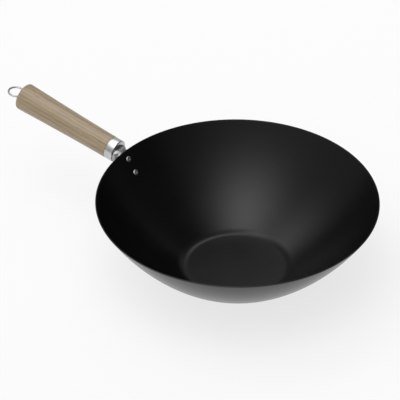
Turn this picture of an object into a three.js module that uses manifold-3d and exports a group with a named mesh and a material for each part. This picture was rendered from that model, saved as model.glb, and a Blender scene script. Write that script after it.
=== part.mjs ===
// Flat-bottomed wok with a riveted bracket and a turned wooden handle, in millimetres, +Z up.
// The origin is the middle of the base, on the surface that the wok stands on. The handle points along -X.
import * as THREE from "three";
import { mergeVertices } from "three/addons/utils/BufferGeometryUtils.js";
import Module from "manifold-3d";

const wasm = await Module();
wasm.setup();

const { degToRad } = THREE.MathUtils;

// Clearance kept between pieces that touch
const gap = 0.3;

// Bowl, measured on its outer surface
const rimRadius = 150;
const rimHeight = 89.6;
const baseRadius = 52;
const footFillet = 25;
const footAngle = degToRad(31); // slope of the wall where it leaves the foot's fillet
const bowlSheet = 1.2;

// Line of the handle: how far under the rim it passes, and its rise outwards
const handleDrop = 4.4;
const handleTilt = degToRad(9.45);

// Ferrule, a cup over the front of the grip with its closed face towards the bowl
const faceStandoff = 8.8; // from the rim to the face, along the handle
const ferruleRadius = 12.85;
const ferruleWall = 0.9;
const ferruleLength = 9.7;
const ferruleRounding = 0.8; // where the face turns into the side

// Grip
const gripLength = 123.3;
const buttRadius = 15.65;
const buttRounding = 2.2;
const gripFlare = 1.5; // over 1, the grip stays slim behind the ferrule and swells towards the butt

// Bracket, pressed from sheet: a plate on the wall that bends outwards into a channel closed by a tab
const sheet = 1.6;
const plateWidth = 22;
const plateReach = 36; // from the rim to the plate's lower end, along the wall
const plateCorner = 9;
const webRise = 4.7; // middle of the channel's web, above the line of the handle
const foldStart = 17; // from the rim to where the plate's edges begin to fold outwards
const bendFold = 0.45; // share of the fold that is done where the plate ends and the bend begins
const waist = 0.78; // width left in the middle of the bend

// Half of the channel's section on the middle of the sheet: across from its middle, and down from its web
const channelSection = [
  [0, 0],
  [2.5, 0],
  [5, 0],
  [8.8, 1.8],
  [9.8, 3.2],
  [9.8, 7],
  [9.8, 10.8],
];

// Rivets, placed by their distance from the rim along the wall
const rivetUpperPlace = 9.4;
const rivetLowerPlace = 26.2;
const rivetShank = 2;
const rivetHeadRadius = 3.5;
const rivetHeadHeight = 1.2;
const rivetDimpleRadius = 1.3;
const rivetDimpleDepth = 0.5;
const rivetTailRadius = 2.9;
const rivetTailHeight = 1.4;

// Tie rod with its hanging loop, its nut and its washer
const rodDiameter = 2.2;
const rodTip = 1; // length of rod that shows in front of the nut
const nutFlats = 5.6;
const nutSides = 6;
const nutLength = 2.6;
const washerRadius = 5;
const washerThickness = 0.8;
const loopRadius = 8.4; // on the middle of the wire
const loopDroop = degToRad(2.5); // the loop hangs this far under the line of the rod
const loopStart = degToRad(10); // where the wire joins the circle, from the side next to the butt
const loopEnd = degToRad(335);
const neckRise = 0.5; // straight rod between the washer and the bend into the loop

// How finely round pieces are divided
const bowlSides = 80;
const handleSides = 40;
const rivetSides = 20;
const boreSides = 16;
const wireSides = 8;
const wallSteps = 8;
const gripSteps = 8;
const plateSteps = 14;
const plateCrowding = 1.6; // over 1, the plate's steps lie closer together in its rounded lower end
const bendSteps = 10;
const arcSteps = 5;
const lipSteps = 4;
const loopSteps = 20;

const weld = 1e-4; // corners of a surface closer than this are one corner
const overrun = 60; // cutting shapes run this far past what they cut
const spotDepth = 8; // cleared behind the plate for a rivet's tail

// Sizes that follow from the ones above
const quarter = Math.PI / 2;
const ferruleBore = ferruleRadius - ferruleWall;
const rodRadius = rodDiameter / 2;
const rodHole = rodRadius + gap;
const nutCorner = nutFlats / (2 * Math.cos(Math.PI / nutSides));
const rivetPlaces = { rivet_upper: rivetUpperPlace, rivet_lower: rivetLowerPlace };

// Distances along the handle, from the rim
const shoulder = faceStandoff + ferruleLength;
const woodFace = faceStandoff + ferruleWall + gap;
const butt = shoulder + gripLength;
const tabMiddle = faceStandoff - gap - sheet / 2;
const nutBack = tabMiddle - sheet / 2 - gap;
const nutFront = nutBack - nutLength;
const rodFront = nutFront - rodTip;
const washerFace = butt + gap;
const neck = washerFace + washerThickness + neckRise; // where the rod bends into the loop

const blackCoat = { color: 0x1b1b1d, roughness: 0.42, metalness: 0.3 };
const brightSteel = { color: 0xb9bcc0, roughness: 0.22, metalness: 1 };
const rivetSteel = { color: 0x9a9b9d, roughness: 0.35, metalness: 1 };
const lacqueredWood = { color: 0x9d8d74, roughness: 0.4, metalness: 0 };

// The wall's outer side is one arc, tangent to the foot's fillet and ending at the rim.
const wall = (() => {
  const footR = baseRadius + footFillet * Math.sin(footAngle);
  const footZ = footFillet * (1 - Math.cos(footAngle));
  const across = rimRadius - footR;
  const up = rimHeight - footZ;
  const rimAngle = 2 * Math.atan2(up, across) - footAngle;
  const radius = Math.hypot(across, up) / (2 * Math.sin((rimAngle - footAngle) / 2));
  return {
    rimAngle,
    radius,
    centreR: footR - radius * Math.sin(footAngle),
    centreZ: footZ + radius * Math.cos(footAngle),
  };
})();

// A point of the wall's section at the given slope, moved outwards by offset
function wallPoint(angle, offset) {
  const radius = wall.radius + offset;
  return new THREE.Vector2(
    wall.centreR + radius * Math.sin(angle),
    wall.centreZ - radius * Math.cos(angle),
  );
}

function wallArc(fromAngle, toAngle, offset, steps) {
  const points = [];
  for (let i = 0; i <= steps; i++) {
    points.push(wallPoint(fromAngle + ((toAngle - fromAngle) * i) / steps, offset));
  }
  return points;
}

function roundArc(centreR, centreZ, radius, fromAngle, toAngle, steps) {
  const points = [];
  for (let i = 0; i <= steps; i++) {
    const angle = fromAngle + ((toAngle - fromAngle) * i) / steps;
    const r = centreR + radius * Math.cos(angle);
    const z = centreZ + radius * Math.sin(angle);
    points.push(new THREE.Vector2(r, z));
  }
  return points;
}

// Solids

function toSolid(geometry) {
  const bare = new THREE.BufferGeometry();
  bare.setAttribute("position", geometry.getAttribute("position"));
  bare.setIndex(geometry.index);
  const merged = mergeVertices(bare, weld);
  return new wasm.Manifold(
    new wasm.Mesh({
      numProp: 3,
      vertProperties: merged.attributes.position.array,
      triVerts: new Uint32Array(merged.index.array),
    }),
  );
}

function toGeometry(solid) {
  const mesh = solid.getMesh();
  const geometry = new THREE.BufferGeometry();
  geometry.setAttribute("position", new THREE.BufferAttribute(mesh.vertProperties, 3));
  geometry.setIndex(new THREE.BufferAttribute(mesh.triVerts, 1));
  geometry.computeVertexNormals();
  return geometry;
}

// A profile of (radius, height) points turned about Z
function turned(profile, sides) {
  return new THREE.LatheGeometry(profile, sides).rotateX(quarter);
}

// A round bar along Z
function bar(radius, from, to, sides) {
  const profile = [
    new THREE.Vector2(0, from),
    new THREE.Vector2(radius, from),
    new THREE.Vector2(radius, to),
    new THREE.Vector2(0, to),
  ];
  return turned(profile, sides);
}

// A shape drawn in the plane of two axes, extruded evenly to both sides of that plane
function slab(shape, depth, drawnX, drawnY) {
  const geometry = new THREE.ExtrudeGeometry(shape, {
    depth,
    bevelEnabled: false,
    curveSegments: arcSteps,
  });
  geometry.translate(0, 0, -depth / 2);
  const normal = new THREE.Vector3().crossVectors(drawnX, drawnY);
  return geometry.applyMatrix4(new THREE.Matrix4().makeBasis(drawnX, drawnY, normal));
}

function outline(points) {
  return new THREE.Shape(points.map(([x, y]) => new THREE.Vector2(x, y)));
}

const axisX = new THREE.Vector3(1, 0, 0);
const axisY = new THREE.Vector3(0, 1, 0);
const axisZ = new THREE.Vector3(0, 0, 1);

// Frames

// Along the handle: Z runs outwards from the rim, X points up, Y lies across.
function handleFrame() {
  const frame = new THREE.Group();
  frame.position.set(-rimRadius, 0, rimHeight - handleDrop);
  frame.rotation.y = handleTilt - quarter;
  frame.updateMatrix();
  return frame;
}

// On the wall's outer side under the handle: Z points into the bowl, X down the wall, Y lies across.
function wallFrame(belowRim) {
  const angle = wall.rimAngle - belowRim / wall.radius;
  const point = wallPoint(angle, 0);
  const frame = new THREE.Group();
  frame.position.set(-point.x, 0, point.y);
  frame.rotation.y = angle;
  frame.updateMatrix();
  return frame;
}

const handle = handleFrame();

// A round hole square to the wall
function wallHole(belowRim, radius, from, to) {
  const hole = bar(radius, from, to, rivetSides);
  return toSolid(hole.applyMatrix4(wallFrame(belowRim).matrix));
}

// Pieces

function bowlGeometry() {
  const { rimAngle } = wall;
  const rimMiddle = wallPoint(rimAngle, -bowlSheet / 2);
  const lip = [rimMiddle.x, rimMiddle.y, bowlSheet / 2, rimAngle - quarter, rimAngle + quarter];
  const foot = [baseRadius, footFillet];
  const profile = [
    new THREE.Vector2(0, 0),
    ...roundArc(...foot, footFillet, -quarter, footAngle - quarter, arcSteps),
    ...wallArc(footAngle, rimAngle, 0, wallSteps).slice(1),
    ...roundArc(...lip, lipSteps).slice(1, -1),
    ...wallArc(rimAngle, footAngle, -bowlSheet, wallSteps),
    ...roundArc(...foot, footFillet - bowlSheet, footAngle - quarter, -quarter, arcSteps).slice(1),
    new THREE.Vector2(0, bowlSheet),
  ];
  let solid = toSolid(turned(profile, bowlSides));
  for (const belowRim of Object.values(rivetPlaces)) {
    solid = solid.subtract(wallHole(belowRim, rivetShank + gap, -bowlSheet, 2 * bowlSheet));
  }
  return toGeometry(solid);
}

// Where the middle of the channel's web, running in along the handle, meets the middle of the plate
function bracketCorner() {
  const lean = new THREE.Vector2(Math.cos(handleTilt), Math.sin(handleTilt));
  const start = new THREE.Vector2(
    rimRadius - webRise * lean.y - wall.centreR,
    rimHeight - handleDrop + webRise * lean.x - wall.centreZ,
  );
  const plateMiddle = wall.radius + gap + sheet / 2;
  const half = start.dot(lean);
  const along = -half + Math.sqrt(half ** 2 - start.lengthSq() + plateMiddle ** 2);
  start.addScaledVector(lean, along);
  return { along, angle: Math.atan2(start.x, -start.y) };
}

// Places along the middle of the sheet, from the plate's lower end to the tab. Each has its point on the
// middle line, the direction square to the sheet on the wall's side, the half width of the flat plate,
// how far the edges are folded, how far the sheet follows the wall round, and how far it is drawn in.
function sheetStations() {
  const corner = bracketCorner();
  const turn = corner.angle - handleTilt;
  const tangent = tabMiddle - corner.along;
  const bendRadius = tangent / Math.tan(turn / 2);
  const plateTop = (wall.rimAngle - corner.angle) * wall.radius + tangent;
  const plateHalf = plateWidth / 2;
  const { smoothstep } = THREE.MathUtils;
  const stations = [];
  for (let i = 0; i < plateSteps; i++) {
    const belowRim = plateReach + (plateTop - plateReach) * (i / plateSteps) ** plateCrowding;
    const fromEnd = plateReach - belowRim;
    const fromCorner = Math.max(plateCorner - fromEnd, 0);
    const angle = wall.rimAngle - belowRim / wall.radius;
    const middle = wallPoint(angle, gap + sheet / 2);
    stations.push({
      point: new THREE.Vector3(-middle.x, 0, middle.y),
      normal: new THREE.Vector3(Math.sin(angle), 0, Math.cos(angle)),
      half: plateHalf - plateCorner + Math.sqrt(plateCorner ** 2 - fromCorner ** 2),
      fold: bendFold * smoothstep(-belowRim, -foldStart, -plateTop),
      follow: 1,
      width: 1,
    });
  }
  for (let i = 0; i <= bendSteps; i++) {
    const part = i / bendSteps;
    const left = turn * (1 - part);
    const up = webRise - bendRadius * (1 - Math.cos(left));
    const along = tabMiddle - bendRadius * Math.sin(left);
    stations.push({
      point: new THREE.Vector3(up, 0, along).applyMatrix4(handle.matrix),
      normal: new THREE.Vector3(Math.cos(left), 0, -Math.sin(left)).transformDirection(handle.matrix),
      half: plateHalf,
      fold: bendFold + (1 - bendFold) * smoothstep(part, 0, 1),
      follow: smoothstep(1 - part, 0, 1),
      width: 1 - (1 - waist) * Math.sin(Math.PI * part) ** 2,
    });
  }
  return stations;
}

// Points across the middle of the sheet at one station, from one edge to the other
function sheetRow({ point, normal, half, fold, follow, width }) {
  const lengths = [0];
  for (let i = 1; i < channelSection.length; i++) {
    const [across, down] = channelSection[i];
    const [lastAcross, lastDown] = channelSection[i - 1];
    lengths.push(lengths[i - 1] + Math.hypot(across - lastAcross, down - lastDown));
  }
  const place = (side, i) => {
    const [across, down] = channelSection[i];
    const flat = (half * lengths[i]) / lengths[lengths.length - 1];
    const y = side * width * THREE.MathUtils.lerp(flat, across, fold);
    const placed = point.clone().addScaledVector(normal, -down * fold);
    placed.x += follow * (-placed.x - Math.sqrt(placed.x ** 2 - y ** 2));
    placed.y = y;
    return placed;
  };
  const right = channelSection.map((_, i) => place(1, i));
  const left = channelSection.map((_, i) => place(-1, i));
  return [...left.slice(1).reverse(), ...right];
}

// The grid of points moved square to its own surface
function offsetGrid(grid, distance) {
  const lastRow = grid.length - 1;
  const lastColumn = grid[0].length - 1;
  return grid.map((row, i) =>
    row.map((point, j) => {
      const fore = grid[Math.min(i + 1, lastRow)][j];
      const aft = grid[Math.max(i - 1, 0)][j];
      const along = fore.clone().sub(aft);
      const across = row[Math.min(j + 1, lastColumn)].clone().sub(row[Math.max(j - 1, 0)]);
      return point.clone().addScaledVector(along.cross(across).normalize(), distance);
    }),
  );
}

// A closed skin round the space between two grids of points
function betweenGrids(upper, lower) {
  const rows = upper.length;
  const columns = upper[0].length;
  const points = [...upper.flat(), ...lower.flat()];
  const high = (i, j) => i * columns + j;
  const low = (i, j) => rows * columns + i * columns + j;
  const index = [];
  const quad = (a, b, c, d) => index.push(a, b, c, a, c, d);
  for (let i = 0; i + 1 < rows; i++) {
    for (let j = 0; j + 1 < columns; j++) {
      quad(high(i, j), high(i + 1, j), high(i + 1, j + 1), high(i, j + 1));
      quad(low(i, j), low(i, j + 1), low(i + 1, j + 1), low(i + 1, j));
    }
    quad(high(i, 0), low(i, 0), low(i + 1, 0), high(i + 1, 0));
    quad(high(i, columns - 1), high(i + 1, columns - 1), low(i + 1, columns - 1), low(i, columns - 1));
  }
  for (let j = 0; j + 1 < columns; j++) {
    quad(high(0, j), high(0, j + 1), low(0, j + 1), low(0, j));
    quad(high(rows - 1, j), low(rows - 1, j), low(rows - 1, j + 1), high(rows - 1, j + 1));
  }
  const geometry = new THREE.BufferGeometry().setFromPoints(points);
  geometry.setIndex(index);
  return geometry;
}

function bracketGeometry() {
  const grid = sheetStations().map(sheetRow);
  const wallSide = offsetGrid(grid, sheet / 2);
  const openSide = offsetGrid(grid, -sheet / 2);
  let solid = toSolid(betweenGrids(wallSide, openSide));

  // The tab closes the channel's end in front of the ferrule and lets the rod through.
  const toHandle = handle.matrix.clone().invert();
  const end = wallSide[wallSide.length - 1].map((point) => point.clone().applyMatrix4(toHandle));
  const tabShape = outline(end.map((point) => [point.y, point.x]));
  const tab = toSolid(slab(tabShape, sheet, axisY, axisX).translate(0, 0, tabMiddle));
  const rodWay = toSolid(bar(rodHole, tabMiddle - sheet, tabMiddle + sheet, boreSides));
  const placedTab = toGeometry(tab.subtract(rodWay)).applyMatrix4(handle.matrix);
  solid = solid.add(toSolid(placedTab));

  const plateBack = -gap - sheet;
  for (const belowRim of Object.values(rivetPlaces)) {
    const spotFace = wallHole(belowRim, rivetTailRadius + gap, plateBack - spotDepth, plateBack);
    const hole = wallHole(belowRim, rivetShank + gap, plateBack - spotDepth, 0);
    solid = solid.subtract(spotFace).subtract(hole);
  }
  return toGeometry(solid);
}

// A rivet in its wall frame: dimpled head inside the bowl, shank, and the tail set on the plate
function rivetGeometry() {
  const under = bowlSheet + gap;
  const back = -2 * gap - sheet;
  const tailEnd = back - rivetTailHeight;
  const dome = [];
  for (let i = 0; i <= arcSteps; i++) {
    const angle = quarter * (i / arcSteps);
    const radius = rivetDimpleRadius + (rivetHeadRadius - rivetDimpleRadius) * Math.cos(angle);
    dome.push(new THREE.Vector2(radius, under + rivetHeadHeight * Math.sin(angle)));
  }
  const profile = [
    new THREE.Vector2(0, tailEnd),
    new THREE.Vector2(rivetTailRadius - rivetTailHeight / 2, tailEnd),
    new THREE.Vector2(rivetTailRadius, (back + tailEnd) / 2),
    new THREE.Vector2(rivetTailRadius, back),
    new THREE.Vector2(rivetShank, back),
    new THREE.Vector2(rivetShank, under),
    ...dome,
    new THREE.Vector2(0, under + rivetHeadHeight - rivetDimpleDepth),
  ];
  return turned(profile, rivetSides);
}

function ferruleGeometry() {
  const inside = faceStandoff + ferruleWall;
  const back = shoulder - gap;
  const edge = [ferruleRadius - ferruleRounding, faceStandoff + ferruleRounding, ferruleRounding];
  const profile = [
    new THREE.Vector2(rodHole, inside),
    new THREE.Vector2(rodHole, faceStandoff),
    ...roundArc(...edge, -quarter, 0, lipSteps),
    new THREE.Vector2(ferruleRadius, back),
    new THREE.Vector2(ferruleBore, back),
    new THREE.Vector2(ferruleBore, inside),
    new THREE.Vector2(rodHole, inside),
  ];
  return turned(profile, handleSides);
}

function gripGeometry() {
  const spigot = ferruleBore - gap;
  const taperEnd = butt - buttRounding;
  const profile = [
    new THREE.Vector2(0, woodFace),
    new THREE.Vector2(spigot, woodFace),
    new THREE.Vector2(spigot, shoulder),
  ];
  for (let i = 0; i <= gripSteps; i++) {
    const part = i / gripSteps;
    const radius = ferruleRadius + (buttRadius - ferruleRadius) * part ** gripFlare;
    profile.push(new THREE.Vector2(radius, shoulder + (taperEnd - shoulder) * part));
  }
  profile.push(
    ...roundArc(buttRadius - buttRounding, taperEnd, buttRounding, 0, quarter, arcSteps).slice(1),
    new THREE.Vector2(0, butt),
  );
  const rodBore = bar(rodHole, woodFace - overrun, butt + overrun, boreSides);
  const solid = toSolid(turned(profile, handleSides)).subtract(toSolid(rodBore));
  return toGeometry(solid);
}

// Six-sided nut with two of its flats level, so that the channel's web keeps it from turning
function nutGeometry() {
  const body = bar(nutCorner, nutFront, nutBack, nutSides);
  const thread = bar(rodHole, nutFront - gap, nutBack + gap, boreSides);
  return toGeometry(toSolid(body).subtract(toSolid(thread)));
}

function washerGeometry() {
  const back = washerFace + washerThickness;
  const profile = [
    new THREE.Vector2(rodHole, washerFace),
    new THREE.Vector2(washerRadius, washerFace),
    new THREE.Vector2(washerRadius, back),
    new THREE.Vector2(rodHole, back),
    new THREE.Vector2(rodHole, washerFace),
  ];
  return turned(profile, rivetSides);
}

// A wire's path, stepped from point to point
class WirePath extends THREE.Curve {
  constructor(points) {
    super();
    this.points = points;
  }

  getPoint(t, target = new THREE.Vector3()) {
    const last = this.points.length - 1;
    const place = THREE.MathUtils.clamp(t, 0, 1) * last;
    const index = Math.min(Math.floor(place), last - 1);
    return target.lerpVectors(this.points[index], this.points[index + 1], place - index);
  }

  getUtoTmapping(u) {
    return u;
  }
}

// The rod runs straight through the grip and its washer, then bends aside and round into the loop.
function tieRodGeometry() {
  const loopPlane = (across, out) =>
    new THREE.Vector3(-out * Math.sin(loopDroop), across, neck + out * Math.cos(loopDroop));
  const loopMiddle = rodRadius + loopRadius / Math.cos(loopStart);
  const onLoop = (angle) =>
    loopPlane(loopRadius * Math.sin(angle), loopMiddle - loopRadius * Math.cos(angle));
  const bend = new THREE.QuadraticBezierCurve3(
    loopPlane(0, 0),
    loopPlane(0, rodRadius),
    onLoop(loopStart),
  );
  const points = [new THREE.Vector3(0, 0, rodFront), ...bend.getPoints(arcSteps)];
  for (let i = 1; i <= loopSteps; i++) {
    points.push(onLoop(loopStart + ((loopEnd - loopStart) * i) / loopSteps));
  }
  const section = new THREE.Shape();
  section.absarc(0, 0, rodRadius, 0, 2 * Math.PI, false);
  return new THREE.ExtrudeGeometry(section, {
    steps: points.length - 1,
    curveSegments: wireSides / 2,
    extrudePath: new WirePath(points),
  });
}

// Assembly

function piece(name, geometry, finish) {
  const mesh = new THREE.Mesh(geometry, new THREE.MeshStandardMaterial(finish));
  mesh.name = name;
  return mesh;
}

const wok = new THREE.Group();
wok.add(piece("wok_bowl", bowlGeometry(), blackCoat));
wok.add(piece("handle_bracket", bracketGeometry(), brightSteel));
for (const [name, belowRim] of Object.entries(rivetPlaces)) {
  wok.add(wallFrame(belowRim).add(piece(name, rivetGeometry(), rivetSteel)));
}
handle.add(piece("ferrule", ferruleGeometry(), brightSteel));
handle.add(piece("handle_grip", gripGeometry(), lacqueredWood));
handle.add(piece("rod_nut", nutGeometry(), rivetSteel));
handle.add(piece("butt_washer", washerGeometry(), brightSteel));
handle.add(piece("tie_rod", tieRodGeometry(), brightSteel));
wok.add(handle);

export default wok;
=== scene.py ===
import math

import bmesh
import bpy
from mathutils import Matrix, Vector


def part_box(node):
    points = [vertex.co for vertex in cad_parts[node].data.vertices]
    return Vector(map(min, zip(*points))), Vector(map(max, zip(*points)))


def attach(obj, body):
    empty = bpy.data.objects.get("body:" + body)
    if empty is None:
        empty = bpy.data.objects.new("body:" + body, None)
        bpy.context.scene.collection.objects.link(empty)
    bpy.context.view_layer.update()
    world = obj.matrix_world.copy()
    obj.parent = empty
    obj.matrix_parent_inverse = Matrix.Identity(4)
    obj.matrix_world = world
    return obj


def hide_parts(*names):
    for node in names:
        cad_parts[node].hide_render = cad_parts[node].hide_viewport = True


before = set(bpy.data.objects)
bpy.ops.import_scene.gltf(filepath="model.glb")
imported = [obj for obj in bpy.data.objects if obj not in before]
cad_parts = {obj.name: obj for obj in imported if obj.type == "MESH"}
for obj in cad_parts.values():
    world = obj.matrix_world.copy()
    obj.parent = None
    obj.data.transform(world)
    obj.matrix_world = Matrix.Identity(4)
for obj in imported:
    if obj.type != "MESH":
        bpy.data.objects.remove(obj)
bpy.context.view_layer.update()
scene = bpy.context.scene
mm = 0.001
quarter = math.pi / 2
fullTurn = 2 * math.pi
print("frame loaded with", len(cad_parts), "nodes")


# small modelling helpers

turnXtoZ = Vector((0, -1, 0))  # spin axis that carries +X towards +Z
spinUp = Vector((0, 0, 1))
mergeDistance = 0.002 * mm
sharpAngle = math.radians(38)  # edges that turn more than this are shaded as edges


def startAt(bm, x, z):
    return bm.verts.new((x, 0, z))


def lineTo(bm, vert, x, z):
    end = bm.verts.new((x, 0, z))
    bm.edges.new((vert, end))
    return end


def arcAbout(bm, vert, x, z, angle, steps):
    made = bmesh.ops.spin(bm, geom=[vert], cent=(x, 0, z), axis=turnXtoZ, angle=angle, steps=steps)
    return [item for item in made["geom_last"] if isinstance(item, bmesh.types.BMVert)][0]


def turnProfile(bm, sides):
    # closes the drawn profile into a round body about Z
    outline = bm.verts[:] + bm.edges[:]
    bmesh.ops.spin(
        bm, geom=outline, cent=(0, 0, 0), axis=spinUp, angle=fullTurn, steps=sides, use_merge=True
    )
    bmesh.ops.remove_doubles(bm, verts=bm.verts[:], dist=mergeDistance)


def makePiece(bm, name, place, material):
    bmesh.ops.transform(bm, matrix=place, verts=bm.verts[:])
    bmesh.ops.recalc_face_normals(bm, faces=bm.faces[:])
    for face in bm.faces:
        face.smooth = True
    for edge in bm.edges:
        edge.smooth = edge.calc_face_angle(0) < sharpAngle
    mesh = bpy.data.meshes.new(name)
    bm.to_mesh(mesh)
    bm.free()
    mesh.materials.append(material)
    piece = bpy.data.objects.new(name, mesh)
    scene.collection.objects.link(piece)
    return piece


def fitPiece(piece, body, slot, *nodes):
    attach(piece, body)
    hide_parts(*nodes)
    print("made", piece.name)


# material helpers

toneSpan = (0.3, 0.7)  # part of a noise's range in which one tone turns into the other


def startMaterial(name):
    material = bpy.data.materials.new(name)
    material.use_nodes = True
    tree = material.node_tree
    return material, tree, tree.nodes["Principled BSDF"]


def addNode(tree, kind, inputs=None, **settings):
    node = tree.nodes.new(kind)
    for key, value in settings.items():
        setattr(node, key, value)
    for key, value in (inputs or {}).items():
        if isinstance(value, bpy.types.NodeSocket):
            tree.links.new(value, node.inputs[key])
        else:
            node.inputs[key].default_value = value
    return node


def addRamp(tree, factor, stops):
    ramp = addNode(tree, "ShaderNodeValToRGB", {"Fac": factor})
    marks = ramp.color_ramp.elements
    while len(marks) < len(stops):
        marks.new(0.5)
    for mark, (position, colour) in zip(marks, stops):
        mark.position = position
        mark.color = (*colour, 1)
    return ramp.outputs["Color"]


def addTones(tree, factor, low, high):
    return addRamp(tree, factor, [(toneSpan[0], low), (toneSpan[1], high)])


def addRange(tree, value, low, high, span=(0, 1)):
    inputs = {"Value": value, "From Min": span[0], "From Max": span[1], "To Min": low, "To Max": high}
    return addNode(tree, "ShaderNodeMapRange", inputs).outputs["Result"]


def addMath(tree, operation, *values):
    return addNode(tree, "ShaderNodeMath", dict(enumerate(values)), operation=operation).outputs[0]


def addVectorMath(tree, operation, *values):
    node = addNode(tree, "ShaderNodeVectorMath", dict(enumerate(values)), operation=operation)
    return node.outputs["Value" if operation in ("DOT_PRODUCT", "LENGTH") else "Vector"]


def addColourMix(tree, factor, first, second, blend="MIX"):
    inputs = {"Factor": factor, 6: first, 7: second}  # the node's two colour sockets
    return addNode(tree, "ShaderNodeMix", inputs, data_type="RGBA", blend_type=blend).outputs[2]


def addBump(tree, shader, height, strength, depth):
    bump = addNode(tree, "ShaderNodeBump", {"Height": height, "Strength": strength, "Distance": depth})
    tree.links.new(bump.outputs["Normal"], shader.inputs["Normal"])


# sizes of the bowl and the lines that the handle hangs on

bowl = {
    "rimRadius": 150 * mm,
    "rimHeight": 89.6 * mm,
    "baseRadius": 52 * mm,
    "footFillet": 25 * mm,
    "footAngle": math.radians(31),
    "sheet": 1.2 * mm,
    "flatShare": 0.9,  # share of the base's radius inside its outer ring of faces
    "sides": 256,
    "wallSteps": 64,
    "footSteps": 24,
    "lipSteps": 8,
}

handle = {
    "drop": 4.4 * mm,  # how far under the rim the handle's line passes
    "tilt": math.radians(9.45),
}


def solveWall(sizes):
    # the wall is one arc, tangent to the foot's fillet and ending at the rim
    footR = sizes["baseRadius"] + sizes["footFillet"] * math.sin(sizes["footAngle"])
    footZ = sizes["footFillet"] * (1 - math.cos(sizes["footAngle"]))
    across = sizes["rimRadius"] - footR
    up = sizes["rimHeight"] - footZ
    rimAngle = 2 * math.atan2(up, across) - sizes["footAngle"]
    radius = math.hypot(across, up) / (2 * math.sin((rimAngle - sizes["footAngle"]) / 2))
    return {
        "rimAngle": rimAngle,
        "radius": radius,
        "centreR": footR - radius * math.sin(sizes["footAngle"]),
        "centreZ": footZ + radius * math.cos(sizes["footAngle"]),
    }


wall = solveWall(bowl)


def wallPoint(angle, offset):
    radius = wall["radius"] + offset
    return wall["centreR"] + radius * math.sin(angle), wall["centreZ"] - radius * math.cos(angle)


def wallPlace(belowRim):
    # Z points into the bowl, X down the wall
    angle = wall["rimAngle"] - belowRim / wall["radius"]
    r, z = wallPoint(angle, 0)
    return Matrix.Translation((-r, 0, z)) @ Matrix.Rotation(angle, 4, "Y")


handleRoot = Vector((-bowl["rimRadius"], 0, bowl["rimHeight"] - handle["drop"]))
handleTurn = handle["tilt"] - quarter
handlePlace = Matrix.Translation(handleRoot) @ Matrix.Rotation(handleTurn, 4, "Y")  # Z out, X up


def alongHandle(tree):
    # the material's coordinates with Z along the handle, X up
    place = addNode(tree, "ShaderNodeTexCoord").outputs["Object"]
    inputs = {"Vector": place, "Location": handleRoot, "Rotation": (0, handleTurn, 0)}
    return addNode(tree, "ShaderNodeMapping", inputs, vector_type="TEXTURE").outputs["Vector"]


def stretched(tree, vector, scale):
    return addNode(tree, "ShaderNodeMapping", {"Vector": vector, "Scale": scale}).outputs["Vector"]


def addNoise(tree, vector, scale, detail=3.0, roughness=0.5):
    inputs = {"Vector": vector, "Scale": scale, "Detail": detail, "Roughness": roughness}
    return addNode(tree, "ShaderNodeTexNoise", inputs).outputs["Fac"]


# black coat on the pressing

coat = {
    "dark": (0.0016, 0.0016, 0.0018),
    "light": (0.0028, 0.0028, 0.0031),
    # painted highlight colour for the top of the rim
    "rimHighlight": (0.020, 0.019, 0.019),
    "roughLow": 0.21,
    "roughHigh": 0.27,
    "ior": 1.36,
    "cloudScale": 22.0,
    "cloudDetail": 4.0,
    "gritScale": 1400.0,
    "gritDetail": 2.0,
    "gritStrength": 0.12,
    "gritDepth": 0.05 * mm,
    "rimHighlightHeight": 0.55 * mm,  # painted highlight: band under the top of the rim
    "rimHighlightScale": 60.0,
    "rimHighlightShare": (0.1, 0.9),
}


def makeCoat():
    material, tree, shader = startMaterial("black_coat")
    place = addNode(tree, "ShaderNodeTexCoord").outputs["Object"]
    clouds = addNoise(tree, place, coat["cloudScale"], coat["cloudDetail"])
    grit = addNoise(tree, place, coat["gritScale"], coat["gritDetail"])
    colour = addTones(tree, clouds, coat["dark"], coat["light"])
    # painted highlight: the coat is lighter in patches along the very top of the rim, where the upturned rim
    # catches the light
    height = addNode(tree, "ShaderNodeSeparateXYZ", {"Vector": place}).outputs["Z"]
    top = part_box("wok_bowl")[1].z
    edge = addRange(tree, height, 0, 1, (top - coat["rimHighlightHeight"], top))
    patchy = addRange(tree, addNoise(tree, place, coat["rimHighlightScale"]), *coat["rimHighlightShare"])
    rimHighlight = addMath(tree, "MULTIPLY", edge, patchy)
    mixed = addColourMix(tree, rimHighlight, colour, (*coat["rimHighlight"], 1))
    tree.links.new(mixed, shader.inputs["Base Color"])
    tree.links.new(addRange(tree, clouds, coat["roughLow"], coat["roughHigh"]), shader.inputs["Roughness"])
    shader.inputs["IOR"].default_value = coat["ior"]
    addBump(tree, shader, grit, coat["gritStrength"], coat["gritDepth"])
    return material


# bright plated steel of the ferrule, bracket, loop and washer

bright = {
    "turned_plate": {"low": (0.49, 0.49, 0.495), "high": (0.60, 0.60, 0.605), "rough": (0.18, 0.30),
                     "lines": (30, 30, 2600)},
    "pressed_plate": {"low": (0.38, 0.38, 0.385), "high": (0.48, 0.48, 0.485), "rough": (0.38, 0.48),
                      "lines": (420, 420, 90)},
    "drawn_wire": {"low": (0.42, 0.42, 0.425), "high": (0.54, 0.54, 0.545), "rough": (0.24, 0.34),
                   "lines": (900, 900, 60)},
}

# what the three finishes share
plating = {
    "lineDetail": 4.0,
    "lineRoughness": 0.6,
    "lineStrength": 0.06,
    "lineDepth": 0.04 * mm,
    "smudgeScale": 160.0,
}


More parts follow.
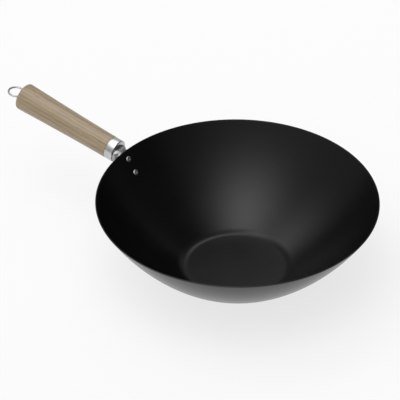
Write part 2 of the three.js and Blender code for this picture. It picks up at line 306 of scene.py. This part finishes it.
def makeBright(name):
    finish = bright[name]
    material, tree, shader = startMaterial(name)
    place = alongHandle(tree)
    along = stretched(tree, place, finish["lines"])
    lines = addNoise(tree, along, 1.0, plating["lineDetail"], plating["lineRoughness"])
    smudge = addNoise(tree, place, plating["smudgeScale"])
    colour = addTones(tree, smudge, finish["low"], finish["high"])
    tree.links.new(colour, shader.inputs["Base Color"])
    tree.links.new(addRange(tree, lines, *finish["rough"]), shader.inputs["Roughness"])
    shader.inputs["Metallic"].default_value = 1.0
    addBump(tree, shader, lines, plating["lineStrength"], plating["lineDepth"])
    return material


# duller steel of the rivets and the nut

dull = {
    "low": (0.36, 0.36, 0.365),
    "high": (0.50, 0.50, 0.505),
    "roughLow": 0.28,
    "roughHigh": 0.42,
    "markScale": 900.0,
    "markDetail": 4.0,
    "markRoughness": 0.6,
    "markStrength": 0.1,
    "markDepth": 0.06 * mm,
}


def makeDull():
    material, tree, shader = startMaterial("rivet_steel")
    place = addNode(tree, "ShaderNodeTexCoord").outputs["Object"]
    marks = addNoise(tree, place, dull["markScale"], dull["markDetail"], dull["markRoughness"])
    tree.links.new(addTones(tree, marks, dull["low"], dull["high"]), shader.inputs["Base Color"])
    tree.links.new(addRange(tree, marks, dull["roughLow"], dull["roughHigh"]), shader.inputs["Roughness"])
    shader.inputs["Metallic"].default_value = 1.0
    addBump(tree, shader, marks, dull["markStrength"], dull["markDepth"])
    return material


# turned wood under clear lacquer

wood = {
    "dark": (0.232, 0.170, 0.096),
    "mid": (0.316, 0.240, 0.141),
    "rosy": (0.352, 0.260, 0.160),
    "pale": (0.398, 0.315, 0.195),
    "pore": (0.62, 0.58, 0.52),
    "pith": (34 * mm, 21 * mm, 0),  # middle of the year rings, beside the grip
    "ringWidth": 1.9 * mm,
    "ringLean": (1, 1, 0.02),  # the rings lean a little along the grip
    "ringShare": 0.24,  # against the streaks
    "waveStretch": (1, 1, 0.12),
    "waveScale": 70.0,
    "waveDetail": 2.0,
    "waveWidth": 3.4 * mm,
    "streakStretch": (1, 1, 0.035),
    "streakScale": 460.0,
    "streakDetail": 5.0,
    "streakRoughness": 0.6,
    "tones": (("dark", 0.28), ("mid", 0.45), ("rosy", 0.58), ("pale", 0.78)),
    "poreStretch": (1, 1, 0.06),
    "poreScale": 1500.0,
    "poreDetail": 2.0,
    "poreSpan": (0.30, 0.40),
    "poreStrength": 0.1,
    "poreDepth": 0.05 * mm,
    "roughLow": 0.44,
    "roughHigh": 0.58,
    "lacquer": 0.5,
    "lacquerRoughness": 0.13,
}


def makeWood():
    material, tree, shader = startMaterial("lacquered_wood")
    place = alongHandle(tree)
    fibres = stretched(tree, place, wood["streakStretch"])
    streaks = addNoise(tree, fibres, wood["streakScale"], wood["streakDetail"], wood["streakRoughness"])
    # year rings run round the pith, so they show as lines along the grip and arcs on the butt
    wave = addNoise(tree, stretched(tree, place, wood["waveStretch"]), wood["waveScale"], wood["waveDetail"])
    fromPith = addVectorMath(tree, "SUBTRACT", place, wood["pith"])
    radius = addVectorMath(tree, "LENGTH", addVectorMath(tree, "MULTIPLY", fromPith, wood["ringLean"]))
    wavy = addMath(tree, "MULTIPLY_ADD", wave, wood["waveWidth"], radius)
    rings = addMath(tree, "PINGPONG", addMath(tree, "DIVIDE", wavy, wood["ringWidth"]), 1.0)
    inputs = {"Factor": wood["ringShare"], 2: streaks, 3: rings}  # the node's two value sockets
    blend = addNode(tree, "ShaderNodeMix", inputs, data_type="FLOAT").outputs[0]
    colour = addRamp(tree, blend, [(position, wood[tone]) for tone, position in wood["tones"]])
    pores = addNoise(tree, stretched(tree, place, wood["poreStretch"]), wood["poreScale"], wood["poreDetail"])
    poreTint = addRamp(tree, pores, [(wood["poreSpan"][0], wood["pore"]), (wood["poreSpan"][1], (1, 1, 1))])
    tinted = addColourMix(tree, 1.0, colour, poreTint, "MULTIPLY")
    tree.links.new(tinted, shader.inputs["Base Color"])
    tree.links.new(addRange(tree, streaks, wood["roughLow"], wood["roughHigh"]), shader.inputs["Roughness"])
    shader.inputs["Coat Weight"].default_value = wood["lacquer"]
    shader.inputs["Coat Roughness"].default_value = wood["lacquerRoughness"]
    addBump(tree, shader, pores, wood["poreStrength"], wood["poreDepth"])
    return material


coatMaterial = makeCoat()
ferruleMaterial = makeBright("turned_plate")
bracketMaterial = makeBright("pressed_plate")
wireMaterial = makeBright("drawn_wire")
rivetMaterial = makeDull()
woodMaterial = makeWood()
print("materials ready")


# bowl: one pressing with a flat base, a rounded foot, a curved wall and a round rim

def makeBowl():
    sheet = bowl["sheet"]
    base = bowl["baseRadius"]
    foot = bowl["footFillet"]
    rise = wall["rimAngle"] - bowl["footAngle"]
    bm = bmesh.new()
    end = startAt(bm, 0, 0)
    end = lineTo(bm, end, bowl["flatShare"] * base, 0)
    end = lineTo(bm, end, base, 0)
    end = arcAbout(bm, end, base, foot, bowl["footAngle"], bowl["footSteps"])
    end = arcAbout(bm, end, wall["centreR"], wall["centreZ"], rise, bowl["wallSteps"])
    end = arcAbout(bm, end, *wallPoint(wall["rimAngle"], -sheet / 2), math.pi, bowl["lipSteps"])
    end = arcAbout(bm, end, wall["centreR"], wall["centreZ"], -rise, bowl["wallSteps"])
    end = arcAbout(bm, end, base, foot, -bowl["footAngle"], bowl["footSteps"])
    end = lineTo(bm, end, bowl["flatShare"] * base, sheet)
    lineTo(bm, end, 0, sheet)
    turnProfile(bm, bowl["sides"])
    piece = makePiece(bm, "bowlShell", Matrix.Identity(4), coatMaterial)
    fitPiece(piece, "wok", "black_coat", "wok_bowl")


makeBowl()


# rivets: dimpled heads inside the bowl, tails set on the bracket's plate

rivet = {
    "places": {  # each rivet's node, and how far it is below the rim along the wall
        "upperRivet": ("rivet_upper", 9.4 * mm),
        "lowerRivet": ("rivet_lower", 26.2 * mm),
    },
    "shank": 2 * mm,
    "headRadius": 3.5 * mm,
    "headHeight": 1.2 * mm,
    "dimpleRadius": 1.3 * mm,
    "dimpleDepth": 0.5 * mm,
    "tailRadius": 2.9 * mm,
    "tailHeight": 1.4 * mm,
    "platePart": 2.3 * mm,  # the bracket's plate and the gap behind the wall
    "steps": 10,
    "sides": 48,
}


def makeRivet(name, node, belowRim):
    head = bowl["sheet"]
    steps = rivet["steps"]
    bm = bmesh.new()
    end = startAt(bm, 0, -rivet["platePart"] - rivet["tailHeight"])
    for i in range(1, steps + 1):  # rounded tail
        angle = quarter * i / steps
        z = -rivet["platePart"] - rivet["tailHeight"] * math.cos(angle)
        end = lineTo(bm, end, rivet["tailRadius"] * math.sin(angle), z)
    end = lineTo(bm, end, rivet["shank"], -rivet["platePart"])
    end = lineTo(bm, end, rivet["shank"], head)
    for i in range(steps + 1):  # round shoulder of the head
        angle = quarter * i / steps
        r = rivet["dimpleRadius"] + (rivet["headRadius"] - rivet["dimpleRadius"]) * math.cos(angle)
        end = lineTo(bm, end, r, head + rivet["headHeight"] * math.sin(angle))
    for i in range(1, steps + 1):  # dimple that the setting tool leaves
        part = i / steps
        z = head + rivet["headHeight"] - rivet["dimpleDepth"] * (1 - math.cos(math.pi * part)) / 2
        end = lineTo(bm, end, rivet["dimpleRadius"] * (1 - part), z)
    turnProfile(bm, rivet["sides"])
    piece = makePiece(bm, name, wallPlace(belowRim), rivetMaterial)
    fitPiece(piece, "wok", "rivet_steel", node)


for rivetName, (rivetNode, rivetDrop) in rivet["places"].items():
    makeRivet(rivetName, rivetNode, rivetDrop)


# places along the handle, from the rim

line = {
    "mouth": 8.8 * mm,
    "woodFace": 10 * mm,
    "shoulder": 18.5 * mm,
    "butt": 141.8 * mm,
}


# ferrule: a short bright cup over the front of the grip, closed towards the bowl

ferrule = {
    "radius": 12.85 * mm,
    "wall": 0.9 * mm,
    "rodHole": 1.4 * mm,
    "frontRounding": 0.8 * mm,
    "backEdge": 0.25 * mm,
    "backGap": 0.05 * mm,  # between its open end and the grip's shoulder
    "steps": 8,
    "sides": 128,
}


def makeFerrule():
    bore = ferrule["radius"] - ferrule["wall"]
    inside = line["mouth"] + ferrule["wall"]
    back = line["shoulder"] - ferrule["backGap"]
    rounding = ferrule["frontRounding"]
    edge = ferrule["backEdge"]
    bm = bmesh.new()
    first = startAt(bm, ferrule["rodHole"], inside)
    end = lineTo(bm, first, ferrule["rodHole"], line["mouth"])
    flat = ferrule["radius"] - rounding
    end = lineTo(bm, end, flat, line["mouth"])
    end = arcAbout(bm, end, flat, line["mouth"] + rounding, quarter, ferrule["steps"])
    end = lineTo(bm, end, ferrule["radius"], back - edge)
    end = arcAbout(bm, end, ferrule["radius"] - edge, back - edge, quarter, ferrule["steps"])
    end = lineTo(bm, end, bore, back)
    end = lineTo(bm, end, bore, inside)
    bm.edges.new((end, first))
    turnProfile(bm, ferrule["sides"])
    piece = makePiece(bm, "ferruleCup", handlePlace, ferruleMaterial)
    fitPiece(piece, "wok", "bright_steel", "ferrule")


makeFerrule()


# grip: turned wood that swells towards a rounded butt

grip = {
    "buttRadius": 15.65 * mm,
    "buttRounding": 2.2 * mm,
    "flare": 1.5,
    "frontRounding": 0.5 * mm,
    "spigot": 11.65 * mm,
    "rodHole": 1.4 * mm,
    "taperSteps": 24,
    "arcSteps": 10,
    "sides": 128,
}


def makeGrip():
    front = ferrule["radius"]
    taperEnd = line["butt"] - grip["buttRounding"]
    flat = grip["buttRadius"] - grip["buttRounding"]
    rounding = grip["frontRounding"]
    bm = bmesh.new()
    first = startAt(bm, grip["rodHole"], line["woodFace"])
    end = lineTo(bm, first, grip["spigot"], line["woodFace"])
    end = lineTo(bm, end, grip["spigot"], line["shoulder"])
    end = lineTo(bm, end, front - rounding, line["shoulder"])
    end = arcAbout(bm, end, front - rounding, line["shoulder"] + rounding, quarter, grip["arcSteps"])
    taperStart = line["shoulder"] + rounding
    for i in range(1, grip["taperSteps"] + 1):
        part = i / grip["taperSteps"]
        r = front + (grip["buttRadius"] - front) * part ** grip["flare"]
        end = lineTo(bm, end, r, taperStart + (taperEnd - taperStart) * part)
    end = arcAbout(bm, end, flat, taperEnd, quarter, grip["arcSteps"])
    end = lineTo(bm, end, grip["rodHole"], line["butt"])
    bm.edges.new((end, first))
    turnProfile(bm, grip["sides"])
    piece = makePiece(bm, "turnedGrip", handlePlace, woodMaterial)
    fitPiece(piece, "wok", "lacquered_wood", "handle_grip")


makeGrip()


# bracket: one pressed sheet, a plate riveted on the wall that bends out into a channel closed by a tab

bracket = {
    "sheet": 1.6 * mm,
    "gap": 0.3 * mm,  # between the plate and the wall
    "webHeight": 4.7 * mm,  # middle of the sheet over the handle's line
    "plateHalf": 11 * mm,
    "plateReach": 36 * mm,
    "plateCorner": 9 * mm,
    "plateSteps": 32,
    "plateCrowding": 1.6,  # over 1, rows crowd together in the rounded lower end
    "foldStart": 17 * mm,  # below the rim, where the plate's edges begin to fold outwards
    "bendFold": 0.45,  # how far the edges are folded where the plate ends and the bend begins
    "bendSteps": 20,
    "waist": 0.78,
    "neckEnd": 7.7 * mm,  # middle of the sheet that closes the channel
    # half the channel in mm: across, down
    "section": [(0, 0), (5, 0), (8.8, 1.8), (9.8, 3.2), (9.8, 10.8)],
    "sectionSteps": 30,
    "sectionEasing": 2,  # passes that round its corners
    "rodHole": 1.5 * mm,
    "holeSides": 16,
    "edgeRounding": 0.3 * mm,
    "edgeSegments": 2,
    "edgeAngle": math.radians(50),
}


def smooth(value):
    held = min(max(value, 0), 1)
    return held * held * (3 - 2 * held)


def channelSection():
    # evenly spaced points along half of the channel, with its corners eased
    corners = [Vector(corner) * mm for corner in bracket["section"]]
    lengths = [(b - a).length for a, b in zip(corners, corners[1:])]
    steps = bracket["sectionSteps"]
    slack = 0.001 * mm  # takes up rounding at the last corner
    points = []
    for i in range(steps + 1):
        left = sum(lengths) * i / steps
        for start, end, length in zip(corners, corners[1:], lengths):
            if left <= length + slack:
                points.append(start.lerp(end, min(left / length, 1)))
                break
            left -= length
    for _ in range(bracket["sectionEasing"]):
        inner = [(a + 2 * b + c) / 4 for a, b, c in zip(points, points[1:], points[2:])]
        points = [points[0], *inner, points[-1]]
    return points


def bracketCorner():
    # where the middle of the channel's web meets the middle of the plate on the wall
    plateMiddle = wall["radius"] + bracket["gap"] + bracket["sheet"] / 2
    lean = (math.cos(handle["tilt"]), math.sin(handle["tilt"]))
    startR = bowl["rimRadius"] - bracket["webHeight"] * lean[1] - wall["centreR"]
    startZ = handleRoot.z + bracket["webHeight"] * lean[0] - wall["centreZ"]
    half = startR * lean[0] + startZ * lean[1]
    along = -half + math.sqrt(half ** 2 - startR ** 2 - startZ ** 2 + plateMiddle ** 2)
    return along, math.atan2(startR + along * lean[0], -startZ - along * lean[1])


def bracketRows():
    # one row across the sheet for each place along it, from the plate's lower end to the tab
    along, angle = bracketCorner()
    turn = angle - handle["tilt"]
    bendStart = bracket["neckEnd"]
    tangent = bendStart - along
    bend = tangent / math.tan(turn / 2)
    plateTop = (wall["rimAngle"] - angle) * wall["radius"] + tangent
    bendFold = bracket["bendFold"]
    corner = bracket["plateCorner"]
    turned = handlePlace.to_3x3()
    rows = []
    for i in range(bracket["plateSteps"]):
        part = (i / bracket["plateSteps"]) ** bracket["plateCrowding"]
        below = bracket["plateReach"] + (plateTop - bracket["plateReach"]) * part
        fromEnd = bracket["plateReach"] - below
        inset = corner - math.sqrt(corner ** 2 - max(corner - fromEnd, 0) ** 2)
        slope = wall["rimAngle"] - below / wall["radius"]
        r, z = wallPoint(slope, bracket["gap"] + bracket["sheet"] / 2)
        fold = bendFold * smooth((bracket["foldStart"] - below) / (bracket["foldStart"] - plateTop))
        normal = Vector((math.sin(slope), 0, math.cos(slope)))
        half = bracket["plateHalf"] - inset
        point = Vector((-r, 0, z))
        rows.append({"point": point, "normal": normal, "half": half, "fold": fold, "curve": 1, "waist": 1})
    half = bracket["plateHalf"]
    for i in range(bracket["bendSteps"] + 1):
        part = i / bracket["bendSteps"]
        left = turn * (1 - part)
        out = bendStart - bend * math.sin(left)
        up = bracket["webHeight"] + bend * (math.cos(left) - 1)
        normal = turned @ Vector((math.cos(left), 0, -math.sin(left)))
        fold = bendFold + (1 - bendFold) * smooth(part)
        waist = 1 - (1 - bracket["waist"]) * math.sin(math.pi * part) ** 2
        curve = smooth(1 - part)
        point = handlePlace @ Vector((up, 0, out))
        row = {"point": point, "normal": normal, "half": half, "fold": fold, "curve": curve, "waist": waist}
        rows.append(row)
    return rows


def makeBracket():
    rows = bracketRows()
    section = channelSection()
    columns = bracket["sectionSteps"]
    lastRow = len(rows) - 1
    bm = bmesh.new()
    bmesh.ops.create_grid(bm, x_segments=lastRow, y_segments=2 * columns, size=1)

    def rowOf(vert):  # the flat grid runs from -1 to 1
        return round((vert.co.x + 1) / 2 * lastRow)

    neckRow = sorted((vert for vert in bm.verts if rowOf(vert) == lastRow), key=lambda vert: vert.co.y)
    for vert in bm.verts:
        row = rows[rowOf(vert)]
        side = math.copysign(1, vert.co.y)
        across, down = section[round(abs(vert.co.y) * columns)]
        flat = abs(vert.co.y) * row["half"]
        y = side * row["waist"] * (flat + (across - flat) * row["fold"])
        place = row["point"] - row["normal"] * down * row["fold"]
        follow = -place.x - math.sqrt(place.x ** 2 - y ** 2)  # the plate follows the wall round
        vert.co = place + Vector((row["curve"] * follow, y, 0))
    # the end tab closes the channel in front of the ferrule, with a hole for the rod
    outline = [bm.edges.get(pair) for pair in zip(neckRow, neckRow[1:])]
    outline.append(bm.edges.new((neckRow[0], neckRow[-1])))
    tabPlace = handlePlace @ Matrix.Translation((0, 0, bracket["neckEnd"]))
    made = bmesh.ops.create_circle(
        bm, segments=bracket["holeSides"], radius=bracket["rodHole"], matrix=tabPlace
    )
    ring = dict.fromkeys(edge for vert in made["verts"] for edge in vert.link_edges)  # each once, in order
    bmesh.ops.triangle_fill(bm, use_beauty=True, edges=outline + list(ring))
    piece = makePiece(bm, "bracketSheet", Matrix.Identity(4), bracketMaterial)
    thick = piece.modifiers.new("sheet", "SOLIDIFY")
    thick.thickness = bracket["sheet"]
    thick.offset = 0
    thick.use_even_offset = True
    edge = piece.modifiers.new("edge", "BEVEL")
    edge.width = bracket["edgeRounding"]
    edge.segments = bracket["edgeSegments"]
    edge.limit_method = "ANGLE"
    edge.angle_limit = bracket["edgeAngle"]
    fitPiece(piece, "wok", "bright_steel", "handle_bracket")


makeBracket()


# tie rod: straight through the grip, its end bent into the hanging loop

rod = {
    "radius": 1.1 * mm,
    "front": 3 * mm,
    "neck": 143.4 * mm,
    "loopRadius": 8.4 * mm,
    "loopStart": math.radians(10),
    "loopEnd": math.radians(335),
    "droop": math.radians(2.5),
    "sides": 20,
    "bendSteps": 10,
    "loopSteps": 72,
    "endRounding": 0.5,  # share of the wire's radius
    "endSegments": 4,
}


def makeTieRod():
    radius = rod["radius"]
    start = rod["loopStart"]
    loopMiddle = rod["neck"] + radius + rod["loopRadius"] / math.cos(start)
    joinAcross = rod["loopRadius"] * math.sin(start)
    joinOut = loopMiddle - rod["loopRadius"] * math.cos(start)
    bend = joinAcross / (1 - math.sin(start))  # radius of the bend between rod and loop
    bendFrom = joinOut - bend * math.cos(start)
    bm = bmesh.new()
    bmesh.ops.create_circle(bm, cap_ends=True, segments=rod["sides"], radius=radius)
    bmesh.ops.translate(bm, vec=(0, 0, rod["front"]), verts=bm.verts[:])
    made = bmesh.ops.extrude_face_region(bm, geom=bm.faces[:], use_keep_orig=True)["geom"]
    ends = [item for item in made if isinstance(item, bmesh.types.BMVert)]
    bmesh.ops.translate(bm, vec=(0, 0, bendFrom - rod["front"]), verts=ends)
    last = [item for item in made if isinstance(item, bmesh.types.BMFace)]
    turns = [
        ((0, bend, bendFrom), (-1, 0, 0), quarter - start, rod["bendSteps"]),
        ((0, 0, loopMiddle), (1, 0, 0), rod["loopEnd"] - start, rod["loopSteps"]),
    ]
    for centre, axis, angle, steps in turns:
        made = bmesh.ops.spin(bm, geom=last, cent=centre, axis=axis, angle=angle, steps=steps)["geom_last"]
        last = [item for item in made if isinstance(item, bmesh.types.BMFace)]
    rim = [edge for face in last for edge in face.edges]
    rounding = rod["endRounding"] * radius
    bmesh.ops.bevel(
        bm, geom=rim, offset=rounding, segments=rod["endSegments"], profile=0.5, affect="EDGES", material=-1
    )
    beyond = [vert for vert in bm.verts if vert.co.z > rod["neck"]]
    droop = Matrix.Rotation(-rod["droop"], 3, "Y")
    bmesh.ops.rotate(bm, cent=(0, 0, rod["neck"]), matrix=droop, verts=beyond)
    piece = makePiece(bm, "loopRod", handlePlace, wireMaterial)
    fitPiece(piece, "tie_rod", "bright_steel", "tie_rod")


makeTieRod()


# washer under the loop

washer = {
    "radius": 5 * mm,
    "hole": 1.4 * mm,
    "thickness": 0.8 * mm,
    "face": 142.1 * mm,
    "rounding": 0.25 * mm,
    "steps": 5,
    "sides": 64,
}


def makeWasher():
    back = washer["face"] + washer["thickness"]
    rounding = washer["rounding"]
    bm = bmesh.new()
    first = startAt(bm, washer["hole"], washer["face"])
    end = lineTo(bm, first, washer["radius"], washer["face"])
    end = lineTo(bm, end, washer["radius"], back - rounding)
    end = arcAbout(bm, end, washer["radius"] - rounding, back - rounding, quarter, washer["steps"])
    end = lineTo(bm, end, washer["hole"], back)
    bm.edges.new((end, first))
    turnProfile(bm, washer["sides"])
    piece = makePiece(bm, "buttWasher", handlePlace, wireMaterial)
    fitPiece(piece, "wok", "bright_steel", "butt_washer")


makeWasher()

# the nut keeps its solid, under the bracket's web
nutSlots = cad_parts["rod_nut"].data.materials
nutSlots.clear()
nutSlots.append(rivetMaterial)
print("nut dressed")


# floor, light and camera

stage = {
    "floorRadius": 6.0,
    "floorSides": 96,
    "floorDrop": 0.2 * mm,
    "floorColour": (0.93, 0.93, 0.93),
    "floorRoughness": 0.9,
    "white": 1.0,
    "whiteShare": 0.75,  # of what the camera and shiny pieces see, the rest keeps the shadow
    "roomFront": 0.5,  # the room is pale on the camera's side and dark behind the object
    "roomBack": 0.08,
    "roomSpan": (-0.35, 0.85),
    "roomToward": (0, -1, 0),
}

softboxes = {
    "overhead": {"toward": (0.05, -0.28, 0.95), "halfWidth": math.radians(20), "level": 3.2},
    "left": {"toward": (-0.65, -0.03, 0.76), "halfWidth": math.radians(15), "level": 1.75},
    "behind": {"toward": (-0.3, 0.9, 0.3), "halfWidth": math.radians(20), "level": 0.6},
}

lamps = {
    "overHandle": {"power": 2.8, "size": (0.35, 1.3), "place": (-0.55, 0.7, 1.45), "aim": (-0.55, 0.4, 0)},
}


def makeFloor():
    bm = bmesh.new()
    bmesh.ops.create_circle(bm, cap_ends=True, segments=stage["floorSides"], radius=stage["floorRadius"])
    bmesh.ops.translate(bm, vec=(0, 0, -stage["floorDrop"]), verts=bm.verts[:])
    mesh = bpy.data.meshes.new("floor")
    bm.to_mesh(mesh)
    bm.free()
    floor = bpy.data.objects.new("floor", mesh)
    scene.collection.objects.link(floor)
    material, tree, shader = startMaterial("pale_floor")
    shader.inputs["Base Color"].default_value = (*stage["floorColour"], 1)
    shader.inputs["Roughness"].default_value = stage["floorRoughness"]
    shader.inputs["Specular IOR Level"].default_value = 0.0
    white = addNode(tree, "ShaderNodeEmission", {"Strength": stage["white"]})
    path = addNode(tree, "ShaderNodeLightPath").outputs
    seen = path["Is Camera Ray"]
    for kind in ("Is Glossy Ray", "Is Transmission Ray"):
        seen = addMath(tree, "MAXIMUM", seen, path[kind])
    share = addMath(tree, "MULTIPLY", seen, stage["whiteShare"])
    mix = addNode(tree, "ShaderNodeMixShader", {0: share, 1: shader.outputs[0], 2: white.outputs[0]})
    tree.links.new(mix.outputs[0], tree.nodes["Material Output"].inputs["Surface"])
    mesh.materials.append(material)


def makeWorld():
    world = bpy.data.worlds.new("studio")
    world.use_nodes = True
    scene.world = world
    tree = world.node_tree
    room = tree.nodes["Background"]
    way = addNode(tree, "ShaderNodeTexCoord").outputs["Generated"]
    depth = addVectorMath(tree, "DOT_PRODUCT", way, stage["roomToward"])
    level = addRange(tree, depth, stage["roomBack"], stage["roomFront"], stage["roomSpan"])
    for softbox in softboxes.values():  # each fades softly away from its middle, to half at halfWidth
        near = addVectorMath(tree, "DOT_PRODUCT", way, Vector(softbox["toward"]).normalized())
        fall = math.log(2) / (1 - math.cos(softbox["halfWidth"]))
        glow = addMath(tree, "EXPONENT", addMath(tree, "MULTIPLY_ADD", near, fall, -fall))
        level = addMath(tree, "MULTIPLY_ADD", glow, softbox["level"], level)
    room.inputs["Color"].default_value = (1, 1, 1, 1)
    tree.links.new(level, room.inputs["Strength"])


def makeLamp(name, sizes):
    light = bpy.data.lights.new(name, "AREA")
    light.shape = "RECTANGLE"
    light.size, light.size_y = sizes["size"]
    light.energy = sizes["power"]
    lamp = bpy.data.objects.new(name, light)
    lamp.location = sizes["place"]
    lamp.rotation_euler = (Vector(sizes["aim"]) - lamp.location).to_track_quat("-Z", "Y").to_euler()
    lamp.visible_camera = False
    scene.collection.objects.link(lamp)


makeFloor()
makeWorld()
for lampName, lampSizes in lamps.items():
    makeLamp(lampName, lampSizes)

view = {
    "azimuth": math.radians(34.5),
    "elevation": math.radians(36.057),
    "distance": 2.3222,
    "target": Vector((0, 0, 90.5 * mm)),
    "turn": (math.radians(53.901), 0, math.radians(35.705)),
    "lens": 198.0,
    "sensor": 36.0,
}


def makeCamera():
    data = bpy.data.cameras.new("photo_view")
    data.lens = view["lens"]
    data.sensor_width = view["sensor"]
    camera = bpy.data.objects.new("photo_view", data)
    flat = math.cos(view["elevation"])
    back = Vector((
        math.sin(view["azimuth"]) * flat,
        -math.cos(view["azimuth"]) * flat,
        math.sin(view["elevation"]),
    ))
    camera.location = view["target"] + view["distance"] * back
    camera.rotation_euler = view["turn"]
    scene.collection.objects.link(camera)
    scene.camera = camera


makeCamera()
scene.view_settings.view_transform = "Standard"
print("stage and camera ready")
